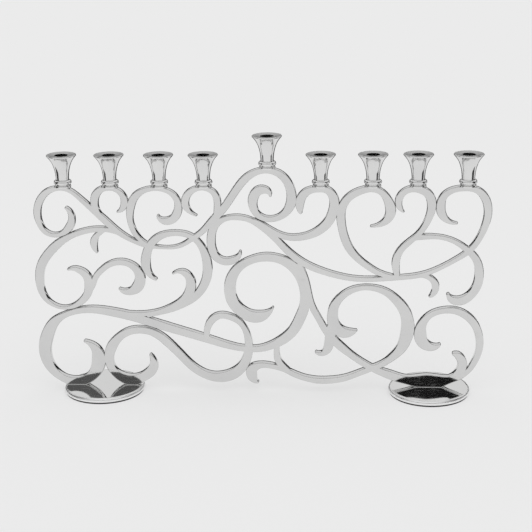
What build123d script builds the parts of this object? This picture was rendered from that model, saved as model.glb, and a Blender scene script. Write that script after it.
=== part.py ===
from build123d import *
import math
import os

os.makedirs("parts", exist_ok=True)

# Nine-light menorah: one flat cast scroll panel on two round discs, with a
# turned candle cup on each scroll crest. Millimetres, +Z up, panel in the XZ plane.

# Overall sizes
panel_width = 357.0        # scroll panel, end to end in X
rim_height = 195.0         # rim of the eight side cups above the table
panel_thick = 5.5          # scroll panel in Y

# Candle cups
cup_height = 19.5          # turned cup without its collar
rim_radius = 11.5
waist_radius = 5.0
bore_radius = 5.2          # takes a thin candle
bore_depth = 10.5
dish_depth = 0.5           # rim top slopes down to the bore
collar_height = 6.2        # foot flange and bead under the cup
bead_radius = 6.9
foot_radius = 6.4
foot_thick = 1.6           # height of the foot flange

# Discs and pads
disc_radius = 32.4
disc_thick = 3.6
disc_round = 2.2           # rounded top edge of the disc
disc_under_round = 1.0     # rounded edge beneath
pad_radius = 31.4
pad_thick = 1.2

# Fasteners
stud_radius = 1.5          # joins cup, collar and panel
stud_in_panel = 1.4
stud_in_cup = 6.0
stud_gap = 0.2             # collar hole around the stud
thread_gap = 0.02          # threads, both studs and screws
screw_radius = 1.5
screw_in_foot = 4.5
screw_head_radius = 2.9
head_recess = 0.1          # screw head below the disc's underside

disc_top = pad_thick + disc_thick
seat_height = rim_height - cup_height - collar_height

# The scroll positions below are drawn for a panel this wide, centred on drawn_middle, that stands on
# discs with their tops at drawn_disc_top and carries its side cups at drawn_seat. The lowest foot_zone
# above the discs keeps its shape, and what is over it stretches to reach the seats.
drawn_width = 357.0
drawn_middle = -0.9
drawn_disc_top = 4.8
drawn_seat = 169.3
drawn_centre_seat = 183.9
foot_zone = 10.0
kx = panel_width / drawn_width
kz = (seat_height - disc_top - foot_zone) / (drawn_seat - drawn_disc_top - foot_zone)

cup_xs = [-153.0, -116.0, -77.5, -43.0, 6.5, 47.5, 87.5, 122.0, 160.0]
cup_names = ["left_1", "left_2", "left_3", "left_4", "centre", "right_1", "right_2", "right_3", "right_4"]
disc_xs = {"left": -128.5, "right": 133.5}
screw_xs = {"left": (-151.0, -105.0), "right": (126.0, 138.0)}

# Scroll strokes: stations along each centre line as (x, z, stroke width)
strokes = {
    "outer_ring_to_centre": [
        (-151.3, 152.7, 1.5), (-148, 148.3, 3.6), (-147.5, 143, 4.8), (-150, 137, 5.5), (-155.5, 132.3, 3.7),
        (-162, 130.8, 3), (-169, 133.5, 3.5), (-173.3, 140.8, 4), (-174.5, 149, 5), (-172, 158.5, 5),
        (-166, 165.5, 4.5), (-157, 168.5, 3), (-149, 167.3, 2.8), (-142, 162.5, 3), (-134, 154.8, 3.6),
        (-124, 145.5, 4.7), (-113, 135, 4.5), (-99, 126, 3), (-88.5, 122.2, 3), (-79.5, 121, 2),
        (-70, 120.7, 2), (-62, 122.5, 2.7), (-54, 127.3, 3.3), (-45.5, 133.5, 4), (-38, 141.5, 5),
        (-30, 150, 5.5), (-18, 167, 5.5), (-10, 176.5, 5.5), (-3, 180.9, 4.6), (6, 182.6, 4),
        (14.5, 180.5, 4.9), (21, 174.7, 5.8), (24.5, 166, 6.4), (24.7, 158, 7), (20.5, 149.5, 5.7),
        (14, 145, 4.3), (6, 144, 4), (-1.5, 147.5, 4.7), (-5, 154.5, 6), (-4.5, 161.5, 7),
        (-1, 166.3, 6.7), (4, 167.2, 5.5), (7.5, 165.5, 3.5), (8.5, 162.3, 1)],
    "left_eye_top": [
        (-83, 94.5, 1.5), (-88, 99, 4), (-90.5, 105.5, 6.5), (-90.3, 112.5, 6.5), (-88, 120, 6),
        (-81.5, 128, 5.5), (-73.5, 131.7, 4.3), (-65, 132.5, 3.7), (-57, 131.2, 3.8), (-50.5, 127.3, 4),
        (-45, 119.5, 5.2), (-42, 108.5, 6.5), (-42.3, 97.5, 6.7), (-46, 88, 6.2), (-53, 79.5, 5.3),
        (-62.5, 73, 3.7), (-72, 69, 3.2), (-81, 66.6, 2.8), (-90, 64.4, 3)],
    "inner_curl": [
        (-69, 99.5, 1.2), (-65.5, 101, 2), (-61, 100.5, 4), (-57, 97, 5.6), (-55.3, 90.5, 7.2),
        (-57.3, 82.8, 7), (-64, 76, 5), (-72, 71.3, 4.1), (-80.5, 68, 3.4), (-90.5, 65.8, 3.4),
        (-101, 65.3, 3.4), (-112, 66.2, 3.2)],
    "left_foot_to_spiral": [
        (-142.6, 41.8, 1.5), (-138, 39.4, 3.8), (-134, 34.8, 7.4), (-132.2, 27, 10.6), (-134.3, 18, 9.8),
        (-140.5, 10.8, 7.8), (-151, 7, 7.5), (-161, 9.5, 6), (-170.5, 17.5, 6.9), (-175, 27.5, 8.6),
        (-175.5, 37, 9.5), (-172.5, 48, 9.5), (-166.3, 58.5, 7.2), (-158.5, 64, 4.6), (-149, 67.5, 4.4),
        (-135, 69, 5.2), (-120, 67, 6.1), (-105, 63.7, 6.4), (-85, 57.5, 6.5), (-65, 51.2, 6.2),
        (-45, 45, 5.8), (-27, 39.2, 5), (-13, 36.5, 4.3), (-1, 36.7, 4.9), (8, 39.5, 5.9),
        (17.5, 44.8, 7.3), (24.5, 51.3, 7.7), (30.5, 62, 8), (34.3, 73, 7.6), (34.8, 84, 7.2),
        (32.2, 95, 7.5), (26, 105, 8), (15.5, 111.3, 6.4), (3.5, 113, 6.1), (-8, 110.3, 5.7),
        (-17.5, 104.2, 6.6), (-23, 95.5, 7.9), (-24.5, 86, 8.6), (-22.3, 76.2, 8.5), (-16, 68.4, 8.6),
        (-7.8, 63.9, 9), (0, 64, 8), (5.5, 66.8, 4.4), (9.3, 71, 1)],
    "left_big_c": [
        (-152.5, 102.5, 1.2), (-148, 103.2, 2.9), (-143, 101.4, 4.5), (-138.3, 97.2, 5.9), (-136.8, 90, 6.4),
        (-138.3, 82.5, 5.8), (-143.5, 76, 4.8), (-150.5, 71.8, 3.3), (-158, 70.5, 2.2), (-165.5, 72.5, 2.5),
        (-171.5, 77.2, 3.6), (-175.3, 85, 5), (-176.2, 94, 6), (-174.5, 104.6, 6.5), (-168.8, 114.2, 6.6),
        (-160.3, 123, 6.1), (-151, 129.2, 4.5), (-141, 133.2, 4), (-130.5, 135.4, 3.8), (-121, 135.4, 3.3),
        (-113, 133.3, 2.6), (-107, 130.5, 2)],
    "left_small_curl": [
        (-122, 135, 2.5), (-125.5, 133, 3), (-129.5, 129, 4.2), (-131, 124.7, 5), (-130.5, 120.3, 3.6),
        (-129, 116.8, 1)],
    "left_s_scroll": [
        (-136, 85, 2.5), (-133, 91, 3.6), (-131, 96.3, 4), (-126.5, 101.6, 4.3), (-120, 106.5, 4.2),
        (-110.5, 108.8, 4.4), (-102, 106.3, 4.8), (-97, 101, 6.3), (-95.7, 94, 7.8), (-98, 88.2, 8.3),
        (-103, 84.7, 5.8), (-108.5, 84.3, 3.6), (-112.3, 86.4, 1)],
    "ring_left_2": [
        (-119, 141.5, 3), (-123, 145, 3.5), (-127, 150, 4), (-128.8, 156.5, 5.2), (-127.5, 163.2, 5.6),
        (-122.5, 167.8, 4.2), (-116.5, 168.6, 3), (-110.2, 166.8, 3.2), (-106.2, 162.5, 4.2), (-105.3, 156.5, 5),
        (-107.3, 152.1, 3.6), (-110.8, 149.8, 1)],
    "ring_left_3": [
        (-79.3, 146.3, 1.2), (-77.3, 143.4, 3.3), (-73.2, 142.2, 5.2), (-68, 143.8, 5.9), (-64.4, 148.5, 6),
        (-63.2, 155, 5), (-65.3, 161.5, 4.2), (-71.5, 166.5, 3.2), (-80, 168.4, 3), (-89, 167, 3.8),
        (-96.2, 162.5, 5.2), (-100.5, 154, 5.6), (-101.5, 145, 4.3), (-99.7, 136, 3.8), (-95, 128.3, 3.3),
        (-88, 122.5, 3)],
    "ring_left_4": [
        (-49.5, 146.8, 1), (-53.8, 149.4, 2.4), (-57.3, 154, 4.8), (-57.4, 160, 5.3), (-53.5, 165.7, 4.5),
        (-47, 168.5, 3.2), (-41, 168.2, 3), (-35.9, 165.6, 3.9), (-33, 160.3, 4.7), (-32.6, 154, 4.7),
        (-33.5, 148, 4)],
    "wave_to_ring_right_4": [
        (-15.7, 117.3, 1.2), (-17.6, 113.1, 3.7), (-22, 110.3, 5.2), (-28, 109.5, 5.5), (-34, 112.5, 5.6),
        (-37.7, 119.5, 6), (-38.3, 128, 6), (-36.5, 136, 5.6), (-32, 141.5, 4.6), (-25.5, 144.6, 3.6),
        (-17, 145.3, 3.8), (-8.5, 143.6, 3.7), (0.5, 138.4, 4.3), (11.5, 128.8, 4.5), (23.8, 115.9, 5.1),
        (36, 107.1, 4.9), (50, 101.1, 4.3), (65, 96.9, 3.8), (80, 95.1, 3.4), (95, 95.5, 3.2),
        (110, 96.6, 3.2), (125, 98.7, 3.2), (139, 104, 3), (152, 111.3, 3.1), (163.3, 119.6, 4),
        (170.4, 130, 4.2), (174.7, 141.5, 5), (175.7, 151.5, 5.5), (173, 160.8, 5.6), (166.5, 167, 4.5),
        (157, 168.3, 3.8), (148, 166.7, 4.1), (141.7, 162, 5), (139.5, 154.5, 6.2), (141, 147, 5.6),
        (145.8, 142.2, 3.2), (152, 140.6, 1)],
    "ring_right_1": [
        (-4, 142.8, 2.5), (1.5, 139.7, 3.6), (8, 135.2, 4.2), (15, 131.4, 4.2), (22, 129.3, 4.2),
        (31, 129.2, 4.7), (40, 131.5, 5.4), (48, 136.2, 6.5), (54, 143, 6.8), (57.5, 152, 7),
        (56.9, 162, 6.3), (52.5, 166.8, 5), (46, 167.8, 4.3), (38.6, 166.6, 5.1), (33.4, 162.5, 6.2),
        (31.2, 156.3, 6.1), (31.8, 149.2, 2)],
    "ring_right_2": [
        (86.5, 138, 1), (91.5, 138.9, 2.3), (96.6, 141.5, 4.6), (100.4, 146.3, 6.6), (101.2, 152.5, 7.3),
        (99, 159, 6), (94.5, 165, 4.5), (86.5, 167.8, 4.3), (78, 166.3, 5.1), (69.6, 161.6, 5.5),
        (64.3, 154.3, 5.9), (63, 144.5, 6), (64.3, 135, 5.7), (69.2, 121, 5.8), (76, 112.3, 5),
        (85, 105, 4.3), (92, 100.7, 3.9), (100, 97.9, 3.3), (107, 97, 3)],
    "ring_right_3": [
        (111, 149.8, 1), (108.2, 153.3, 3.5), (107.4, 159.3, 4.9), (110.6, 164.8, 4.6), (116.5, 167.7, 4.4),
        (123, 167.3, 5), (129.5, 164, 6), (132.6, 157, 6.4), (131.8, 148.5, 5.4), (128.2, 139.5, 4.4),
        (122, 131, 3.9), (114, 124, 4.3), (108.6, 117.8, 4.7), (105.9, 110.5, 5.4), (106, 103, 4.9),
        (107, 98, 3.6)],
    "right_eye_curl": [
        (117.5, 127.4, 2.3), (120.5, 128.7, 3), (126, 129.6, 3.7), (134, 129.9, 3.2), (143, 128.8, 3),
        (152, 125.4, 3.4), (161.3, 118.8, 4.5), (167.8, 111.5, 5.2), (170.5, 101.5, 6.1), (169.6, 91.5, 6.4),
        (164.8, 82.8, 6.2), (157.3, 77.8, 6.5), (150.3, 78.4, 5.3), (147, 82.3, 2.2)],
    "right_small_curl": [
        (124, 98.3, 2.6), (129, 97.8, 3), (133.5, 95.6, 3.8), (136.8, 91, 5), (136.5, 85.8, 4.5),
        (132.7, 81, 1.2)],
    "low_bar_to_right_ring": [
        (-3.8, 7.7, 1.5), (-6.8, 10, 5.3), (-8.6, 14, 8), (-8, 18.8, 7.9), (-3, 22, 5.1),
        (4, 22.4, 4), (11, 21, 3.8), (18, 18.8, 3.9), (25.5, 14.9, 4.2), (34, 11.6, 4.1),
        (44, 9.6, 4.6), (55, 9.7, 4.7), (66, 11.6, 4.4), (77, 15.8, 4.1), (88, 20.4, 4.1),
        (97.5, 25, 4.4), (104.5, 30.5, 5.6), (110.5, 37, 7.4), (114, 44.5, 9), (115.8, 53, 9.9),
        (115.1, 63.5, 9), (111.6, 71.7, 7.8), (106, 78.5, 6.6), (99.5, 83.9, 5.3), (91, 87.4, 4.3),
        (81, 88.3, 3.7), (71.5, 86, 4.4), (63.5, 80.6, 5.2), (58.5, 74, 6.4), (56.5, 66, 7.8),
        (57.3, 58.5, 8.7), (61.5, 52.5, 8.7), (67.5, 50.3, 7.3), (72, 51, 4.5), (75.3, 52.2, 1)],
    "left_hook": [
        (57, 58, 6), (54.8, 50, 7.5), (53.9, 42, 7), (52.2, 36.3, 6.3), (48.5, 32.9, 3.7), (43.5, 33.5, 1.5)],
    "small_link": [
        (12, 40, 3.8), (11.9, 32, 4.3), (12.9, 27, 4.9), (16.4, 22, 4.6), (21, 17.5, 4)],
    "left_loop": [
        (-89.8, 30.3, 1.5), (-88.2, 26.7, 4.1), (-87.7, 21.5, 6.7), (-90.5, 16.3, 7.8), (-97, 11.5, 7.5),
        (-105, 8.6, 8.8), (-113, 10.5, 7.5), (-119.5, 15.5, 6.2), (-123.2, 22.5, 6.3), (-123.6, 29.5, 7.1),
        (-120.9, 37.8, 7.8), (-115.8, 44.5, 6.3), (-108, 50, 5.6), (-98, 52, 5.3), (-88.5, 50.3, 5.3),
        (-82, 46.9, 5.9), (-73.5, 39.3, 6.4), (-65, 30.2, 6.2), (-57, 21.5, 6.2), (-49, 15.6, 6.2),
        (-40.5, 12.3, 6.8), (-32, 12, 8), (-23, 15, 8.5), (-16, 21.3, 7.6), (-11.9, 29.5, 6.7),
        (-10.3, 38.5, 6), (-11.3, 47.5, 4.9), (-14.2, 55, 3.9), (-19, 60.5, 4.3), (-25.5, 63.6, 4.6),
        (-32.1, 64.6, 4.6), (-38.2, 61.9, 5.4), (-42.2, 56.6, 5.1), (-43.8, 51, 4.3), (-43.8, 46, 4)],
    "thin_diagonal_to_right_foot": [
        (30.3, 108, 2.4), (34, 100.3, 3), (36.6, 90, 4), (38.3, 80.3, 4.4), (41, 71, 4.6),
        (45.2, 63, 4.6), (50, 54, 5), (55.5, 46.5, 5.7), (61, 40.7, 6.2), (69, 33.6, 5.3),
        (76, 28.2, 4.7), (83, 23.5, 4.8), (90, 19.5, 5), (98, 16.2, 6), (106, 13.2, 6.7),
        (114, 10.9, 6.5), (122, 9.8, 9), (131, 9.3, 12), (141, 9.3, 10.3), (149, 10.9, 6),
        (157, 13.6, 4.5), (164.4, 19, 3.9), (168.5, 25.5, 4.4), (171.5, 32.5, 4.5), (172.8, 41, 5.2),
        (171.7, 50, 5.5), (168.6, 57.6, 5.6), (161.7, 65.2, 5.6), (153, 69.3, 4.9), (144, 69.6, 4.3),
        (135, 66.8, 4.3), (129.1, 61.5, 5.4), (126.2, 55, 7.8), (125.8, 49, 9.3), (127.5, 43.3, 8.8),
        (131.5, 39.8, 7.2), (136, 38.7, 5.1), (141.2, 40.6, 1.5)],
    "right_foot_curl": [
        (152.5, 33, 2), (156.5, 31.1, 5.6), (159.5, 25.5, 6.9), (157.8, 18.5, 6.4), (152, 13, 5), (145, 10.5, 5)],
}


def across(x):
    """Drawn X position to the built one."""
    return (x - drawn_middle) * kx


def up(z):
    """Drawn Z position to the built one."""
    above = z - drawn_disc_top
    return disc_top + min(above, foot_zone) + max(above - foot_zone, 0) * kz


def stroke(stations):
    """Flat face of one scroll: a smooth outline either side of its centre line, with rounded ends."""
    points = [(across(x), up(z)) for x, z, width in stations]
    halves = [width / 2 for x, z, width in stations]
    gaps = [math.dist(points[i], points[i + 1]) for i in range(len(points) - 1)]
    slopes = [((b[0] - a[0]) / gap, (b[1] - a[1]) / gap) for a, b, gap in zip(points, points[1:], gaps)]
    tangents = []
    for i in range(len(points)):
        if i == 0:
            tangent = tuple(2 * first - second for first, second in zip(slopes[0], slopes[min(1, len(slopes) - 1)]))
        elif i == len(points) - 1:
            tangent = tuple(2 * last - before for last, before in zip(slopes[-1], slopes[max(-2, -len(slopes))]))
        else:
            before, after = gaps[i - 1], gaps[i]
            tangent = tuple((after * s + before * t) / (before + after) for s, t in zip(slopes[i - 1], slopes[i]))
        length = math.hypot(*tangent)
        tangents.append((tangent[0] / length, tangent[1] / length))
    left = [Vector(p[0] - t[1] * h, 0, p[1] + t[0] * h) for p, t, h in zip(points, tangents, halves)]
    right = [Vector(p[0] + t[1] * h, 0, p[1] - t[0] * h) for p, t, h in zip(points, tangents, halves)]
    start_tip = Vector(points[0][0] - tangents[0][0] * halves[0], 0, points[0][1] - tangents[0][1] * halves[0])
    end_tip = Vector(points[-1][0] + tangents[-1][0] * halves[-1], 0, points[-1][1] + tangents[-1][1] * halves[-1])
    edges = [
        Spline(*left),
        ThreePointArc(left[-1], end_tip, right[-1]),
        Spline(*reversed(right)),
        ThreePointArc(right[0], start_tip, left[0]),
    ]
    return Face(Wire(edges))


def box_between(low, high):
    size = [b - a for a, b in zip(low, high)]
    centre = [(a + b) / 2 for a, b in zip(low, high)]
    return Pos(*centre) * Box(*size)


def rod(x, z, radius, length):
    return Pos(x, 0, z + length / 2) * Cylinder(radius, length)


def seat_z(name):
    return up(drawn_centre_seat) if name == "centre" else seat_height


def scroll_panel():
    faces = [stroke(stations) for stations in strokes.values()]
    front = faces[0].fuse(*faces[1:])
    panel = extrude(front, amount=panel_thick / 2, dir=(0, 1, 0), both=True)
    # feet stand flat on the discs
    panel = panel - box_between((-300, -50, -60), (300, 50, disc_top))
    for name, x in zip(cup_names, cup_xs):
        z = seat_z(name)
        # flat seat across the crest for the collar's foot, and the stud's blind hole
        wide = foot_radius + 0.3
        panel = panel - box_between((across(x) - wide, -20, z), (across(x) + wide, 20, z + 12))
        panel = panel - rod(across(x), z - stud_in_panel, stud_radius + thread_gap, stud_in_panel + 1)
    for side, xs in screw_xs.items():
        for x in xs:
            panel = panel - rod(across(x), disc_top - 1, screw_radius + thread_gap, screw_in_foot + 1)
    return panel


def at(radius, height):
    return Vector(radius, 0, height)


def cup(x, z):
    """Trumpet cup turned from bar, standing on its collar, with the candle bore in its dished rim."""
    top = cup_height
    lip = 0.45
    outside = Spline(
        at(waist_radius, 0),
        at(waist_radius + 0.1, 1.6),
        at(waist_radius + 0.35, top - 14.8),
        at(waist_radius + 1.05, top - 11),
        at(waist_radius + 2.1, top - 7.6),
        at(rim_radius - 2.9, top - 4.5),
        at(rim_radius - 1.2, top - 2.2),
        at(rim_radius, top - 2 * lip),
    )
    rim = ThreePointArc(
        at(rim_radius, top - 2 * lip), at(rim_radius + 0.05, top - 0.7 * lip), at(rim_radius - lip, top))
    inside = Polyline(
        at(rim_radius - lip, top),
        at(rim_radius - 2 * lip, top),
        at(bore_radius, top - dish_depth),
        at(bore_radius, top - bore_depth),
        at(0, top - bore_depth),
        at(0, 0),
        at(waist_radius, 0),
    )
    profile = Face(Wire([outside, rim] + inside.edges()))
    body = revolve(profile, axis=Axis.Z)
    body = body - rod(0, -1, stud_radius + thread_gap, stud_in_cup + 1.3)
    return Pos(x, 0, z) * body


def collar(x, z):
    """Turned ring under the cup: a foot flange, a narrow neck and a rounded bead."""
    neck = foot_radius - 0.9
    hole = stud_radius + stud_gap
    flange = foot_radius - 0.2
    shoulder = waist_radius + 0.3
    bead_low = foot_thick + 0.8
    bead_high = collar_height - 0.4
    outline = [
        Line(at(hole, 0), at(flange, 0)),
        ThreePointArc(at(flange, 0), at(foot_radius, foot_thick / 2), at(flange, foot_thick)),
        Line(at(flange, foot_thick), at(neck, foot_thick + 0.4)),
        Line(at(neck, foot_thick + 0.4), at(neck, bead_low)),
        ThreePointArc(at(neck, bead_low), at(bead_radius, (bead_low + bead_high) / 2), at(neck, bead_high)),
        Line(at(neck, bead_high), at(shoulder, collar_height)),
        Line(at(shoulder, collar_height), at(hole, collar_height)),
        Line(at(hole, collar_height), at(hole, 0)),
    ]
    return Pos(x, 0, z) * revolve(Face(Wire(outline)), axis=Axis.Z)


def stud(x, z):
    return rod(x, z - stud_in_panel, stud_radius, stud_in_panel + collar_height + stud_in_cup)


def screw_cone(extra):
    """Countersunk head, widest at its flat face, which is its lowest point."""
    low = pad_thick + head_recess
    depth = screw_head_radius - screw_radius
    return Pos(0, 0, low + depth / 2) * Cone(screw_head_radius + extra, screw_radius + extra, depth)


def disc(x, xs):
    body = Pos(x, 0, pad_thick + disc_thick / 2) * Cylinder(disc_radius, disc_thick)
    # the two roundings share the edge's height and always leave a flat between them
    share = min(1, 0.95 * disc_thick / (disc_round + disc_under_round))
    rims = body.edges().filter_by(GeomType.CIRCLE).sort_by(Axis.Z)
    body = fillet(rims[-1], disc_round * share)
    rims = body.edges().filter_by(GeomType.CIRCLE).sort_by(Axis.Z)
    body = fillet(rims[0], disc_under_round * share)
    for screw_x in xs:
        body = body - Pos(screw_x, 0, 0) * screw_cone(0)
        body = body - rod(screw_x, pad_thick - 1, screw_head_radius, 1 + head_recess)
        body = body - rod(screw_x, pad_thick, screw_radius + thread_gap, disc_thick + 1)
    return body


def pad(x):
    return rod(x, 0, pad_radius, pad_thick)


def screw(x):
    low = pad_thick + head_recess
    shank = rod(x, low, screw_radius, disc_top + screw_in_foot - low)
    return shank + Pos(x, 0, 0) * screw_cone(0)


def save(shape, node):
    export_step(shape, "parts/" + node + ".step")


save(scroll_panel(), "scroll_panel")
for name, x in zip(cup_names, cup_xs):
    z = seat_z(name)
    save(collar(across(x), z), "collar_" + name)
    save(cup(across(x), z + collar_height), "cup_" + name)
    save(stud(across(x), z), "stud_" + name)
for side, x in disc_xs.items():
    near, far = [across(screw_x) for screw_x in screw_xs[side]]
    save(disc(across(x), (near, far)), "disc_" + side)
    save(pad(across(x)), "pad_" + side)
    save(screw(near), "screw_" + side + "_1")
    save(screw(far), "screw_" + side + "_2")
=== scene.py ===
import math
import bpy
import bmesh
from mathutils import Matrix, Vector


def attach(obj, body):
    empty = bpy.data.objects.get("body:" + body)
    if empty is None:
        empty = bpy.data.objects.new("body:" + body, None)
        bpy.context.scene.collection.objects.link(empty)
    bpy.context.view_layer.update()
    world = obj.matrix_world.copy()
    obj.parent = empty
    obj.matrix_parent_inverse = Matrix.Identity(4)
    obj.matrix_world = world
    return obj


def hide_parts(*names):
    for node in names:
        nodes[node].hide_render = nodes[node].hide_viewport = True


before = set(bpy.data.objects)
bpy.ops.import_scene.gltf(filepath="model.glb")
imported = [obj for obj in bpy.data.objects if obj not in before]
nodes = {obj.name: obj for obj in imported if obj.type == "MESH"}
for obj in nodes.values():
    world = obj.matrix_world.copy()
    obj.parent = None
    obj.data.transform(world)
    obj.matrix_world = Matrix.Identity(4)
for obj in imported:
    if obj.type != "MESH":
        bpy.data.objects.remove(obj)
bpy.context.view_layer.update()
scene = bpy.context.scene
print("frame loaded:", len(nodes), "nodes")


# ---- shader helpers
def newGroup(name, inputs, outputs):
    group = bpy.data.node_groups.new(name, "ShaderNodeTree")
    for label, value in inputs:
        socket = group.interface.new_socket(label, in_out="INPUT", socket_type="NodeSocketFloat")
        socket.default_value = value
    for label in outputs:
        group.interface.new_socket(label, in_out="OUTPUT", socket_type="NodeSocketFloat")
    start = group.nodes.new("NodeGroupInput")
    end = group.nodes.new("NodeGroupOutput")
    return group, start, end


def mathNode(tree, operation, first, second):
    node = tree.nodes.new("ShaderNodeMath")
    node.operation = operation
    for slot, value in ((0, first), (1, second)):
        if isinstance(value, (int, float)):
            node.inputs[slot].default_value = value
        else:
            tree.links.new(value, node.inputs[slot])
    return node.outputs[0]


def clamped(tree, value):
    return mathNode(tree, "MINIMUM", mathNode(tree, "MAXIMUM", value, 0.0), 1.0)


def stretchedNoise(tree, size, stretch, detail=3.0, roughness=0.5):
    coords = tree.nodes.new("ShaderNodeTexCoord")
    mapping = tree.nodes.new("ShaderNodeMapping")
    mapping.inputs["Scale"].default_value = stretch
    noise = tree.nodes.new("ShaderNodeTexNoise")
    noise.inputs["Scale"].default_value = size
    noise.inputs["Detail"].default_value = detail
    noise.inputs["Roughness"].default_value = roughness
    tree.links.new(coords.outputs["Object"], mapping.inputs["Vector"])
    tree.links.new(mapping.outputs[0], noise.inputs["Vector"])
    return noise.outputs[0]


# Polished metal: soft clouding from hand polishing, hairline scratches, the gentle waviness of a casting.
# Each noise is size, stretch, detail and roughness; scratches show where their noise passes scratchFrom
marksLook = {
    "cloud": (26.0, (1, 1, 1), 5.0, 0.6),
    "scratchLevel": (60.0, (1.0, 1.0, 42.0), 2.0),
    "scratchUpright": (75.0, (34.0, 1.0, 1.4), 2.0),
    "wave": (48.0, (1, 1, 1), 1.0, 0.3),
    "scratchFrom": 0.66}


def makePolishMarks():
    group, start, end = newGroup("polishMarks",
        [("Base Roughness", 0.08), ("Cloud Amount", 0.05), ("Scratch Amount", 0.04), ("Wave Height", 0.3),
         ("Scratch Height", 0.05)],
        ["Cloud", "Roughness", "Height"])
    cloud = stretchedNoise(group, *marksLook["cloud"])
    level = stretchedNoise(group, *marksLook["scratchLevel"])
    upright = stretchedNoise(group, *marksLook["scratchUpright"])
    wave = stretchedNoise(group, *marksLook["wave"])
    strongest = mathNode(group, "MAXIMUM", level, upright)
    hair = mathNode(group, "GREATER_THAN", strongest, marksLook["scratchFrom"])
    rough = mathNode(group, "ADD", start.outputs["Base Roughness"],
                     mathNode(group, "MULTIPLY", cloud, start.outputs["Cloud Amount"]))
    rough = mathNode(group, "ADD", rough, mathNode(group, "MULTIPLY", hair, start.outputs["Scratch Amount"]))
    height = mathNode(group, "SUBTRACT", mathNode(group, "MULTIPLY", wave, start.outputs["Wave Height"]),
                      mathNode(group, "MULTIPLY", hair, start.outputs["Scratch Height"]))
    group.links.new(cloud, end.inputs["Cloud"])
    group.links.new(rough, end.inputs["Roughness"])
    group.links.new(height, end.inputs["Height"])
    return group


# Mask of the faces that point straight up: the satin lip of a turned cup, the mirror top of a disc. The
# roughness change there is the real finish; the darker colour put there is painted shade on the tops
def makeUpMask():
    group, start, end = newGroup("upMask", [("Starts At", 0.8), ("Sharpness", 8.0)], ["Mask"])
    geometry = group.nodes.new("ShaderNodeNewGeometry")
    split = group.nodes.new("ShaderNodeSeparateXYZ")
    group.links.new(geometry.outputs["True Normal"], split.inputs[0])
    raised = mathNode(group, "SUBTRACT", split.outputs[2], start.outputs["Starts At"])
    mask = clamped(group, mathNode(group, "MULTIPLY", raised, start.outputs["Sharpness"]))
    group.links.new(mask, end.inputs["Mask"])
    return group


# Tarnish: sparse soft patches that dull and darken the metal
tarnishLook = {"patch": (70.0, (1, 1, 1), 6.0, 0.65), "noneAt": 0.85}


def makeTarnish():
    group, start, end = newGroup("tarnish", [("Coverage", 0.3), ("Sharpness", 6.0)], ["Mask"])
    patch = stretchedNoise(group, *tarnishLook["patch"])
    raised = mathNode(group, "SUBTRACT", patch,
                      mathNode(group, "SUBTRACT", tarnishLook["noneAt"], start.outputs["Coverage"]))
    mask = clamped(group, mathNode(group, "MULTIPLY", raised, start.outputs["Sharpness"]))
    group.links.new(mask, end.inputs["Mask"])
    return group


# Fine rings left by the lathe, round the middle of the piece or up its height
def makeTurningLines():
    group, start, end = newGroup("turningLines", [("Radial Rings", 0.0), ("Height Rings", 900.0)], ["Rings"])
    coords = group.nodes.new("ShaderNodeTexCoord")
    split = group.nodes.new("ShaderNodeSeparateXYZ")
    group.links.new(coords.outputs["Generated"], split.inputs[0])
    dx = mathNode(group, "SUBTRACT", split.outputs[0], 0.5)
    dy = mathNode(group, "SUBTRACT", split.outputs[1], 0.5)
    radius = mathNode(group, "SQRT", mathNode(group, "ADD", mathNode(group, "MULTIPLY", dx, dx),
                                              mathNode(group, "MULTIPLY", dy, dy)), 0.0)
    phase = mathNode(group, "ADD", mathNode(group, "MULTIPLY", radius, start.outputs["Radial Rings"]),
                     mathNode(group, "MULTIPLY", split.outputs[2], start.outputs["Height Rings"]))
    rings = mathNode(group, "SINE", phase, 0.0)
    group.links.new(rings, end.inputs["Rings"])
    return group


polishMarks = makePolishMarks()
tarnish = makeTarnish()
turningLines = makeTurningLines()
upMask = makeUpMask()


def placeGroup(tree, group, values):
    node = tree.nodes.new("ShaderNodeGroup")
    node.node_tree = group
    for label, value in values.items():
        node.inputs[label].default_value = value
    return node


rampFrom, rampTo = 0.3, 0.7   # the middle of a noise, where its two colours meet


def mixColours(tree, mask, low, high):
    ramp = tree.nodes.new("ShaderNodeValToRGB")
    ramp.color_ramp.elements[0].color = (*low, 1)
    ramp.color_ramp.elements[1].color = (*high, 1)
    ramp.color_ramp.elements[0].position = rampFrom
    ramp.color_ramp.elements[1].position = rampTo
    tree.links.new(mask, ramp.inputs[0])
    return ramp.outputs[0]


def fadeTo(tree, mask, first, colour):
    mix = tree.nodes.new("ShaderNodeMix")
    mix.data_type = "RGBA"
    mix.inputs["B"].default_value = (*colour, 1)
    tree.links.new(mask, mix.inputs["Factor"])
    tree.links.new(first, mix.inputs["A"])
    return mix.outputs["Result"]


def addBump(tree, shader, height, distance):
    bump = tree.nodes.new("ShaderNodeBump")
    bump.inputs["Distance"].default_value = distance
    bump.inputs["Strength"].default_value = 1.0
    tree.links.new(height, bump.inputs["Height"])
    tree.links.new(bump.outputs[0], shader.inputs["Normal"])


def newMaterial(name):
    material = bpy.data.materials.new(name)
    material.use_nodes = True
    return material, material.node_tree, material.node_tree.nodes["Principled BSDF"]


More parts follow.
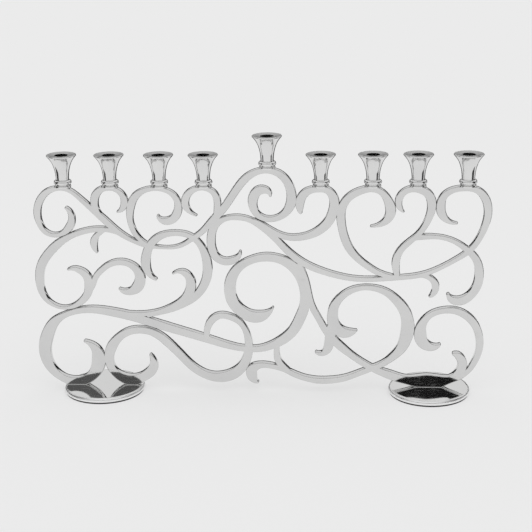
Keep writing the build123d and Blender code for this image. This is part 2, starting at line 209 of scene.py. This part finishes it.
def metalMaterial(name, look):
    material, tree, shader = newMaterial(name)
    marks = placeGroup(tree, polishMarks, look["marks"])
    patches = placeGroup(tree, tarnish, look["tarnish"])
    colour = mixColours(tree, marks.outputs["Cloud"], look["dark"], look["light"])
    dulling = mathNode(tree, "MULTIPLY", patches.outputs["Mask"], look["dullAmount"])
    painted = fadeTo(tree, dulling, colour, look["dull"])
    rough = mathNode(tree, "ADD", marks.outputs["Roughness"],
                     mathNode(tree, "MULTIPLY", patches.outputs["Mask"], look["dullRoughness"]))
    height = marks.outputs["Height"]
    if "rings" in look:
        turned = placeGroup(tree, turningLines, look["rings"])
        height = mathNode(tree, "ADD", height,
                          mathNode(tree, "MULTIPLY", turned.outputs["Rings"], look["ringHeight"]))
    # Faces pointing up get a darker colour, which is painted shade on the tops, and a real change of
    # roughness
    if "lip" in look:
        facing = placeGroup(tree, upMask, look["lip"])
        painted = fadeTo(tree, facing.outputs["Mask"], painted, look["lipPaintedShade"])
        rough = mathNode(tree, "ADD", rough,
                         mathNode(tree, "MULTIPLY", facing.outputs["Mask"], look["lipRoughness"]))
    tree.links.new(painted, shader.inputs["Base Color"])
    tree.links.new(rough, shader.inputs["Roughness"])
    shader.inputs["Metallic"].default_value = 1.0
    addBump(tree, shader, height, look["bumpDistance"])
    return material


castMetal = {
    "marks": {"Base Roughness": 0.04, "Cloud Amount": 0.06, "Scratch Amount": 0.05, "Wave Height": 1.0,
              "Scratch Height": 0.03},
    "tarnish": {"Coverage": 0.24, "Sharpness": 5.0},
    "dark": (0.69, 0.69, 0.69), "light": (0.75, 0.75, 0.745), "dull": (0.52, 0.52, 0.51),
    "dullAmount": 0.35, "dullRoughness": 0.05, "bumpDistance": 0.00012}
turnedMetal = {
    "marks": {"Base Roughness": 0.05, "Cloud Amount": 0.04, "Scratch Amount": 0.03, "Wave Height": 0.5,
              "Scratch Height": 0.02},
    "tarnish": {"Coverage": 0.22, "Sharpness": 5.0},
    "rings": {"Radial Rings": 0.0, "Height Rings": 260.0}, "ringHeight": 0.012,
    # The lip colour is painted shade, darkening the up-facing lip of the cup
    "lip": {"Starts At": 0.86, "Sharpness": 12.0}, "lipPaintedShade": (0.62, 0.62, 0.615), "lipRoughness": 0.3,
    "dark": (0.76, 0.76, 0.76), "light": (0.83, 0.83, 0.825), "dull": (0.5, 0.5, 0.49),
    "dullAmount": 0.35, "dullRoughness": 0.06, "bumpDistance": 0.00012}
discMetal = {
    "marks": {"Base Roughness": 0.36, "Cloud Amount": 0.03, "Scratch Amount": 0.03, "Wave Height": 0.5,
              "Scratch Height": 0.02},
    "tarnish": {"Coverage": 0.2, "Sharpness": 5.0},
    "rings": {"Radial Rings": 420.0, "Height Rings": 0.0}, "ringHeight": 0.006,
    # The lip colour is painted shade, darkening the up-facing top of the disc
    "lip": {"Starts At": 0.93, "Sharpness": 20.0}, "lipPaintedShade": (0.78, 0.78, 0.775), "lipRoughness": -0.33,
    "dark": (0.93, 0.93, 0.93), "light": (0.97, 0.97, 0.97), "dull": (0.55, 0.55, 0.54),
    "dullAmount": 0.3, "dullRoughness": 0.04, "bumpDistance": 0.00012}
fastenerSteel = {
    "marks": {"Base Roughness": 0.28, "Cloud Amount": 0.12, "Scratch Amount": 0.08, "Wave Height": 0.2,
              "Scratch Height": 0.1},
    "tarnish": {"Coverage": 0.35, "Sharpness": 5.0},
    "rings": {"Radial Rings": 160.0, "Height Rings": 0.0}, "ringHeight": 0.05,
    "dark": (0.45, 0.45, 0.46), "light": (0.6, 0.6, 0.61), "dull": (0.3, 0.28, 0.26),
    "dullAmount": 0.6, "dullRoughness": 0.15, "bumpDistance": 0.0001}
castMaterial = metalMaterial("castMetal", castMetal)
turnedMaterial = metalMaterial("turnedMetal", turnedMetal)
discMaterial = metalMaterial("discMetal", discMetal)
fastenerMaterial = metalMaterial("fastenerSteel", fastenerSteel)


padLook = {
    "dark": (0.012, 0.012, 0.012), "light": (0.035, 0.034, 0.033),
    "grain": (1400.0, (1, 1, 1), 4.0, 0.6), "dust": (90.0, (1, 1, 1), 5.0, 0.6),
    "smoothest": 0.7, "dustRoughness": 0.2, "bumpDistance": 0.0001}


def padMaterialNodes():
    material, tree, shader = newMaterial("padRubber")
    grain = stretchedNoise(tree, *padLook["grain"])
    dust = stretchedNoise(tree, *padLook["dust"])
    tree.links.new(mixColours(tree, dust, padLook["dark"], padLook["light"]), shader.inputs["Base Color"])
    dusty = mathNode(tree, "MULTIPLY", dust, padLook["dustRoughness"])
    tree.links.new(mathNode(tree, "ADD", dusty, padLook["smoothest"]), shader.inputs["Roughness"])
    addBump(tree, shader, grain, padLook["bumpDistance"])
    return material


padMaterial = padMaterialNodes()
print("materials made")

# ---- scroll panel: the casting with its cut edges softly rounded and its walls slightly crowned.
# The CAD panel's scrolls are too thin, so this one stands wider than it by swell all round, and sinks into
# the discs and collars by as much
panelLook = {
    "edgeRound": 0.0006, "roundSteps": 4, "swell": 0.0005, "crown": 0.00024, "crownSteps": 6,
    "cuspAngle": 40.0, "sharpestMiter": 1.6, "foldedBack": 0.3, "leastFacing": 0.2, "flatFacing": 0.999}
outlineLook = {"flatWithin": 1e-6, "keysPerMetre": 1e6, "shortestEdge": 1e-9}


def frontOutline(mesh):
    # The flat front face's triangles, its corners, and for each outline corner the way in from the edge
    front = min(v.co.y for v in mesh.vertices)
    perMetre = outlineLook["keysPerMetre"]
    corners = {}
    triangles = []
    for polygon in mesh.polygons:
        points = [mesh.vertices[i].co for i in polygon.vertices]
        if any(abs(c.y - front) > outlineLook["flatWithin"] for c in points):
            continue
        keys = [(round(c.x * perMetre), round(c.z * perMetre)) for c in points]
        if len(set(keys)) < 3:
            continue
        for key, point in zip(keys, points):
            corners[key] = (point.x, point.z)
        triangles.append(keys)
    uses = {}
    for keys in triangles:
        for a, b in zip(keys, keys[1:] + keys[:1]):
            uses.setdefault(frozenset((a, b)), []).append((a, b))
    rim = [pairs[0] for pairs in uses.values() if len(pairs) == 1]
    inward = {}
    for a, b in rim:
        along = Vector(corners[b]) - Vector(corners[a])
        if along.length > outlineLook["shortestEdge"]:
            along.normalize()
            for key in (a, b):
                inward.setdefault(key, []).append(along)
    return -front, corners, triangles, rim, inward


def wayIn(directions, turn):
    # Middle of the two edge normals, lengthened at a corner; a pinched corner stays where it is
    if len(directions) != 2:
        return Vector((0, 0))
    normals = [Vector((-d.y, d.x)) * turn for d in directions]
    middle = normals[0] + normals[1]
    if middle.length < panelLook["foldedBack"]:
        return Vector((0, 0))
    middle.normalize()
    return middle * min(panelLook["sharpestMiter"], 1 / max(panelLook["leastFacing"], middle.dot(normals[0])))


def buildPanel():
    halfThick, corners, triangles, rim, inward = frontOutline(nodes["scroll_panel"].data)
    a, b, c = (Vector(corners[k]) for k in triangles[0])
    turn = 1 if (b - a).cross(c - a) > 0 else -1
    ways = {key: wayIn(found, turn) for key, found in inward.items()}
    edgeRound, crown, swell = panelLook["edgeRound"], panelLook["crown"], panelLook["swell"]
    rings = []  # (distance in from the outline, y) from the front face round to the back face
    for step in range(panelLook["roundSteps"]):
        angle = math.pi / 2 * step / panelLook["roundSteps"]
        rings.append((crown - swell + edgeRound * (1 - math.sin(angle)),
                      edgeRound * (1 - math.cos(angle)) - halfThick))
    wall = halfThick - edgeRound
    for step in range(panelLook["crownSteps"] + 1):
        across = -1 + 2 * step / panelLook["crownSteps"]
        rings.append((crown * across * across - swell, across * wall))
    rings += [(inset, -y) for inset, y in reversed(rings[:panelLook["roundSteps"]])]
    work = bmesh.new()

    def place(key, inset, y):
        point = Vector(corners[key]) + ways.get(key, Vector((0, 0))) * inset
        return work.verts.new((point.x, y, point.y))

    layers = [{key: place(key, inset, y) for key in ways} for inset, y in rings]
    for layer, y in ((layers[0], -halfThick), (layers[-1], halfThick)):
        for key in corners:
            if key not in layer:
                layer[key] = place(key, 0, y)
    for keys in triangles:
        work.faces.new([layers[0][k] for k in keys])
        work.faces.new([layers[-1][k] for k in reversed(keys)])
    for near, far in zip(layers, layers[1:]):
        for first, second in rim:
            work.faces.new((near[second], near[first], far[first], far[second]))
    bmesh.ops.recalc_face_normals(work, faces=work.faces)
    for face in work.faces:
        face.smooth = True
    cusp = math.radians(panelLook["cuspAngle"])
    for edge in work.edges:
        if len(edge.link_faces) == 2:
            flats = [abs(f.normal.y) > panelLook["flatFacing"] for f in edge.link_faces]
            edge.smooth = flats[0] == flats[1] and edge.calc_face_angle(0) < cusp
    openEdges = sum(1 for e in work.edges if len(e.link_faces) != 2)
    mesh = bpy.data.meshes.new("scrollPanel")
    work.to_mesh(mesh)
    pinched = sum(1 for found in inward.values() if len(found) != 2)
    print("panel built:", len(rim), "outline edges,", pinched, "pinched corners,", len(work.faces), "faces,",
          openEdges, "edges not shared by two faces, volume", round(work.calc_volume() * 1e6, 2), "cm3")
    work.free()
    panel = bpy.data.objects.new("scrollPanel", mesh)
    scene.collection.objects.link(panel)
    return panel


panel = buildPanel()
panel.data.materials.clear()
panel.data.materials.append(castMaterial)
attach(panel, "root")
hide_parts("scroll_panel")

# ---- carried-over CAD pieces
finishes = {"cup": (turnedMaterial, "turned_metal"), "collar": (turnedMaterial, "turned_metal"),
            "stud": (fastenerMaterial, "fastener"), "screw": (fastenerMaterial, "fastener"),
            "disc": (discMaterial, "disc_metal"), "pad": (padMaterial, "pad")}
for name, piece in nodes.items():
    kind = name.split("_")[0]
    if kind in finishes:
        material, slotName = finishes[kind]
        piece.data.materials.clear()
        piece.data.materials.append(material)

# The rubber pads have softened rims
padEdge = {"joinWithin": 0.000002, "round": 0.0003, "steps": 3, "sharpFrom": 40.0}
for name in ("pad_left", "pad_right"):
    joined = nodes[name].modifiers.new("joinedFaces", "WELD")
    joined.merge_threshold = padEdge["joinWithin"]
    softened = nodes[name].modifiers.new("softRim", "BEVEL")
    softened.width = padEdge["round"]
    softened.segments = padEdge["steps"]
    softened.limit_method = "ANGLE"
    softened.angle_limit = math.radians(padEdge["sharpFrom"])
print("pieces finished")

# ---- stage
stageLook = {
    "floorSize": 30.0, "floorColour": (0.26, 0.26, 0.26), "floorCloud": (1.5, (1, 1, 1), 2.0),
    "floorUnevenness": 0.995, "floorGlow": 0.56, "backdrop": (0.815, 0.815, 0.815),
    "sunStrength": 1.15, "sunAngle": 70.0, "sunTurn": (12, 6, 0),
    "skyDark": (0.012, 0.012, 0.012), "skyLight": (0.78, 0.78, 0.78),
    "darkUpTo": 0.36, "darkTilt": 0.08, "darkFrom": 0.115, "darkFromTilt": 0.125, "darkFade": 0.03,
    "mottleFrom": -0.02, "mottleRise": 9.0, "mottleLight": 0.42, "mottlePower": 1.6,
    "streakSize": 9.0, "streakDetail": 6.0, "streakRoughness": 0.7}
bpy.ops.mesh.primitive_grid_add(x_subdivisions=8, y_subdivisions=8, size=stageLook["floorSize"])
floor = bpy.context.object
floor.name = "studioFloor"
floorMaterial, floorTree, floorShader = newMaterial("paleFloor")
floorCloud = stretchedNoise(floorTree, *stageLook["floorCloud"])
pale = stageLook["floorColour"]
uneven = tuple(c * stageLook["floorUnevenness"] for c in pale)
floorTree.links.new(mixColours(floorTree, floorCloud, uneven, pale), floorShader.inputs["Base Color"])
floorShader.inputs["Roughness"].default_value = 0.9
floorShader.inputs["Specular IOR Level"].default_value = 0.0
floorShader.inputs["Emission Color"].default_value = (1, 1, 1, 1)
floorShader.inputs["Emission Strength"].default_value = stageLook["floorGlow"]
floor.data.materials.append(floorMaterial)

sunData = bpy.data.lights.new("softSun", "SUN")
sunData.energy = stageLook["sunStrength"]
sunData.angle = math.radians(stageLook["sunAngle"])
sun = bpy.data.objects.new("softSun", sunData)
sun.rotation_euler = [math.radians(a) for a in stageLook["sunTurn"]]
sun.visible_glossy = False
scene.collection.objects.link(sun)

# Room: pale all round but for one dark band, low behind the object and higher in front of it
world = bpy.data.worlds.new("studioRoom")
scene.world = world
world.use_nodes = True
roomTree = world.node_tree
roomCoords = roomTree.nodes.new("ShaderNodeTexCoord")
roomSplit = roomTree.nodes.new("ShaderNodeSeparateXYZ")
roomTree.links.new(roomCoords.outputs["Generated"], roomSplit.inputs[0])
def pastEdge(height, tilt):
    edge = mathNode(roomTree, "SUBTRACT", height, mathNode(roomTree, "MULTIPLY", roomSplit.outputs[1], tilt))
    return mathNode(roomTree, "SUBTRACT", roomSplit.outputs[2], edge)


roomAbove = pastEdge(stageLook["darkUpTo"], stageLook["darkTilt"])
roomBelow = mathNode(roomTree, "MULTIPLY", pastEdge(stageLook["darkFrom"], stageLook["darkFromTilt"]), -1.0)
roomRise = mathNode(roomTree, "MAXIMUM", roomAbove, roomBelow)
roomRamp = roomTree.nodes.new("ShaderNodeValToRGB")
roomRamp.color_ramp.elements[0].color = (*stageLook["skyDark"], 1)
roomRamp.color_ramp.elements[1].color = (*stageLook["skyLight"], 1)
roomRamp.color_ramp.elements[0].position = 0.0
roomRamp.color_ramp.elements[1].position = stageLook["darkFade"]
roomTree.links.new(roomRise, roomRamp.inputs[0])
# The front of the band has a paler, streaked stretch towards the left
roomStreaks = roomTree.nodes.new("ShaderNodeTexNoise")
roomStreaks.inputs["Scale"].default_value = stageLook["streakSize"]
roomStreaks.inputs["Detail"].default_value = stageLook["streakDetail"]
roomStreaks.inputs["Roughness"].default_value = stageLook["streakRoughness"]
roomTree.links.new(roomCoords.outputs["Generated"], roomStreaks.inputs["Vector"])
toLeft = mathNode(roomTree, "SUBTRACT", stageLook["mottleFrom"], roomSplit.outputs[0])
toLeft = clamped(roomTree, mathNode(roomTree, "MULTIPLY", toLeft, stageLook["mottleRise"]))
inFront = mathNode(roomTree, "LESS_THAN", roomSplit.outputs[1], 0.0)
mottle = mathNode(roomTree, "MULTIPLY", toLeft, inFront)
mottle = mathNode(roomTree, "MULTIPLY", mottle, stageLook["mottleLight"])
streaks = mathNode(roomTree, "POWER", roomStreaks.outputs[0], stageLook["mottlePower"])
mottle = mathNode(roomTree, "MULTIPLY", mottle, streaks)
roomColour = fadeTo(roomTree, mottle, roomRamp.outputs[0], stageLook["skyLight"])
# Seen directly the room is an even pale backdrop; the band shows only in the metal
roomPath = roomTree.nodes.new("ShaderNodeLightPath")
roomSeen = fadeTo(roomTree, roomPath.outputs["Is Camera Ray"], roomColour, stageLook["backdrop"])
roomTree.links.new(roomSeen, roomTree.nodes["Background"].inputs["Color"])

# Dark flags seen only in reflections: one upright at each side of the cups, one flat far behind the object
flagMaterial, flagTree, flagShader = newMaterial("blackFlag")
flagCloth = {"grain": (40.0, (1, 1, 1)), "dark": (0.02, 0.02, 0.02), "light": (0.04, 0.04, 0.04)}
flagGrain = stretchedNoise(flagTree, *flagCloth["grain"])
flagTree.links.new(mixColours(flagTree, flagGrain, flagCloth["dark"], flagCloth["light"]),
                   flagShader.inputs["Base Color"])
flagLook = {
    "flagLeft": {"size": (0.22, 0.5), "turn": (90, 0, 90), "place": (-0.42, -0.07, 0.252)},
    "flagRight": {"size": (0.22, 0.5), "turn": (90, 0, 90), "place": (0.42, -0.07, 0.252)},
    "flagBehind": {"size": (1.3, 1.0), "turn": (0, 0, 0), "place": (0.0, 0.8, 0.002)}}
for name, look in flagLook.items():
    bpy.ops.mesh.primitive_grid_add(x_subdivisions=2, y_subdivisions=2, size=1.0)
    flag = bpy.context.object
    flag.name = name
    flag.scale = (*look["size"], 1)
    flag.rotation_euler = [math.radians(a) for a in look["turn"]]
    flag.location = look["place"]
    flag.data.materials.append(flagMaterial)
    flag.visible_camera = False
    flag.visible_diffuse = False
    flag.visible_shadow = False

# ---- camera
cameraLook = {
    "place": (0.0673, -0.9826, 0.4114), "yaw": -3.617, "pitch": 17.272, "roll": -0.929, "lens": 88.82,
    "sensor": 36}
yaw, pitch, roll = (math.radians(cameraLook[k]) for k in ("yaw", "pitch", "roll"))
ahead = Vector((math.sin(yaw) * math.cos(pitch), math.cos(yaw) * math.cos(pitch), -math.sin(pitch)))
right = Vector((math.cos(yaw), -math.sin(yaw), 0))
up = right.cross(ahead)
rolledRight = math.cos(roll) * right + math.sin(roll) * up
rolledUp = -math.sin(roll) * right + math.cos(roll) * up
cameraData = bpy.data.cameras.new("camera")
cameraData.sensor_width = cameraLook["sensor"]
cameraData.lens = cameraLook["lens"]
camera = bpy.data.objects.new("camera", cameraData)
scene.collection.objects.link(camera)
camera.matrix_world = Matrix.Translation(cameraLook["place"]) @ Matrix((
    (rolledRight.x, rolledUp.x, -ahead.x, 0), (rolledRight.y, rolledUp.y, -ahead.y, 0),
    (rolledRight.z, rolledUp.z, -ahead.z, 0), (0, 0, 0, 1)))
scene.camera = camera
scene.view_settings.view_transform = "Standard"
print("stage and camera set")
